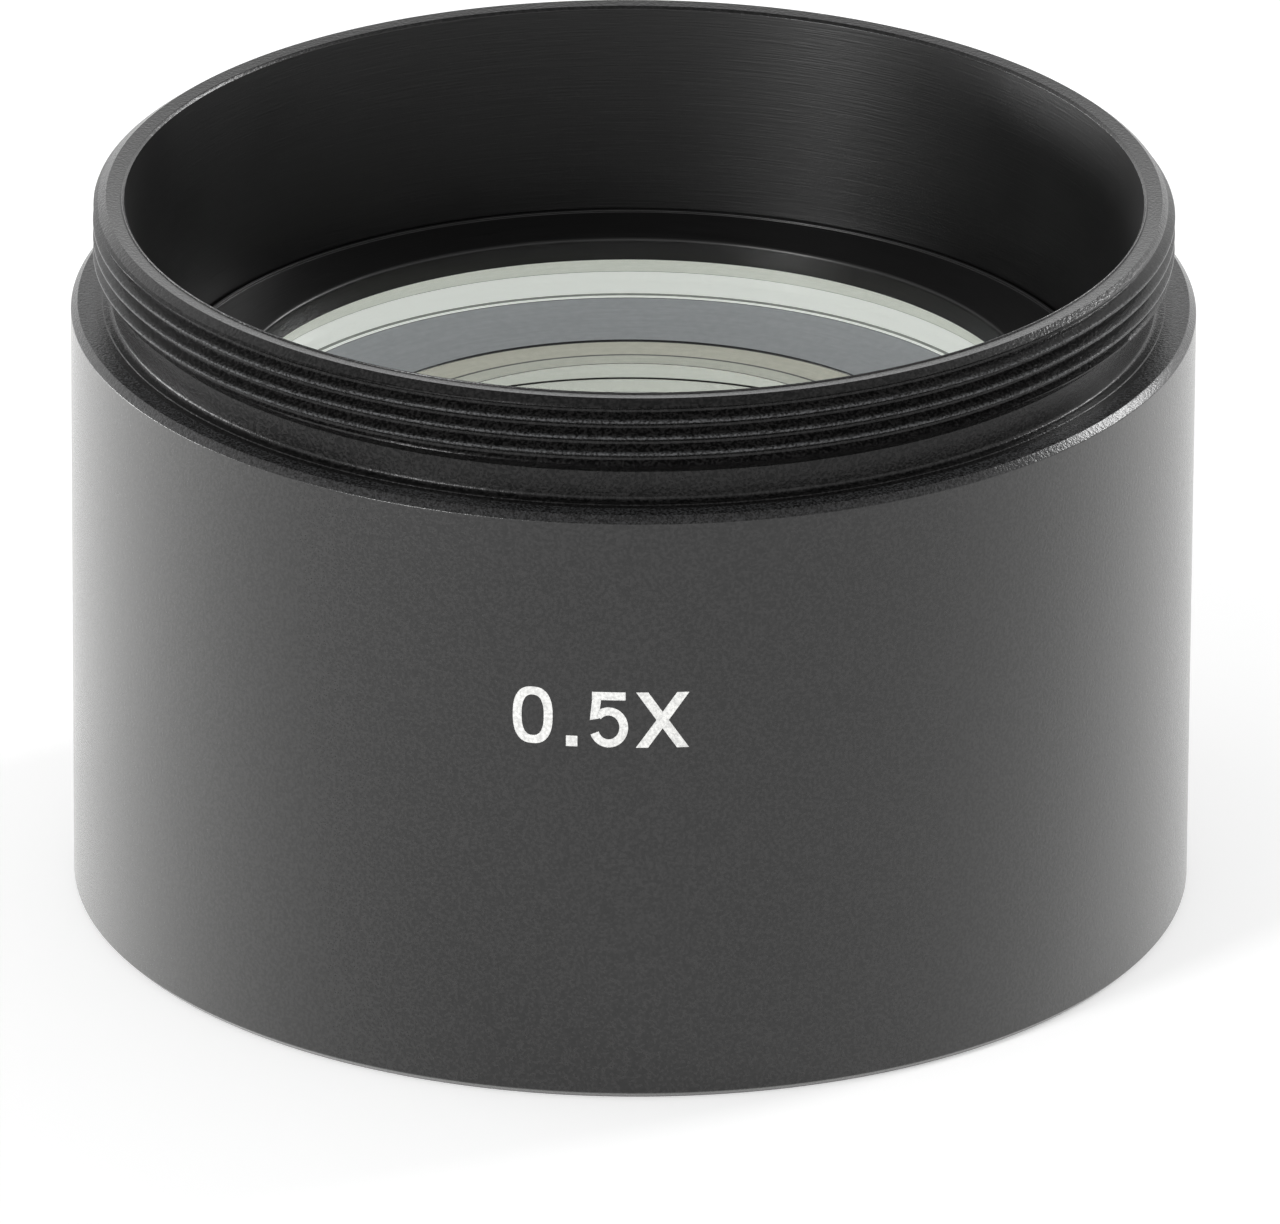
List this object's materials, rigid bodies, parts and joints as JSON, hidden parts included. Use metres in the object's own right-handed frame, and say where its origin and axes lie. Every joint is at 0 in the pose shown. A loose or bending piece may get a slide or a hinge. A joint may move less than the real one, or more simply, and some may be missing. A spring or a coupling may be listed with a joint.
{
  "type": "barlow lens",
  "caption": "Auxiliary 0.5X reducing lens: a black anodised barrel with a male M48 x 0.75 thread on top and a cemented negative doublet held in a cell inside.",
  "frame": {"origin": "centre of the barrel's bottom face, on the optical axis", "axes": "+Z along the optical axis, up towards the thread and the microscope; +X and +Y across the barrel, with the magnification mark near -Y"},
  "size_m": [0.05, 0.05, 0.0327],
  "materials": {
    "anodised_barrel": "bead-blasted, black anodised, satin",
    "turned_black": "fine turned, black anodised, matt",
    "crown_glass": "polished faces, finely ground edge",
    "flint_glass": "polished faces, finely ground edge",
    "optical_cement": "clear film",
    "black_nylon": "matt",
    "marking_paint": "matt white fill"
  },
  "bodies": {
    "root": {"barrel": "anodised_barrel", "lens_cell": "turned_black", "cell_gasket": "black_nylon", "crown_element": "crown_glass", "cement_film": "optical_cement", "flint_element": "flint_glass", "slip_ring": "black_nylon", "lens_retaining_ring": "turned_black", "front_ring": "turned_black"}
  },
  "joints": []
}
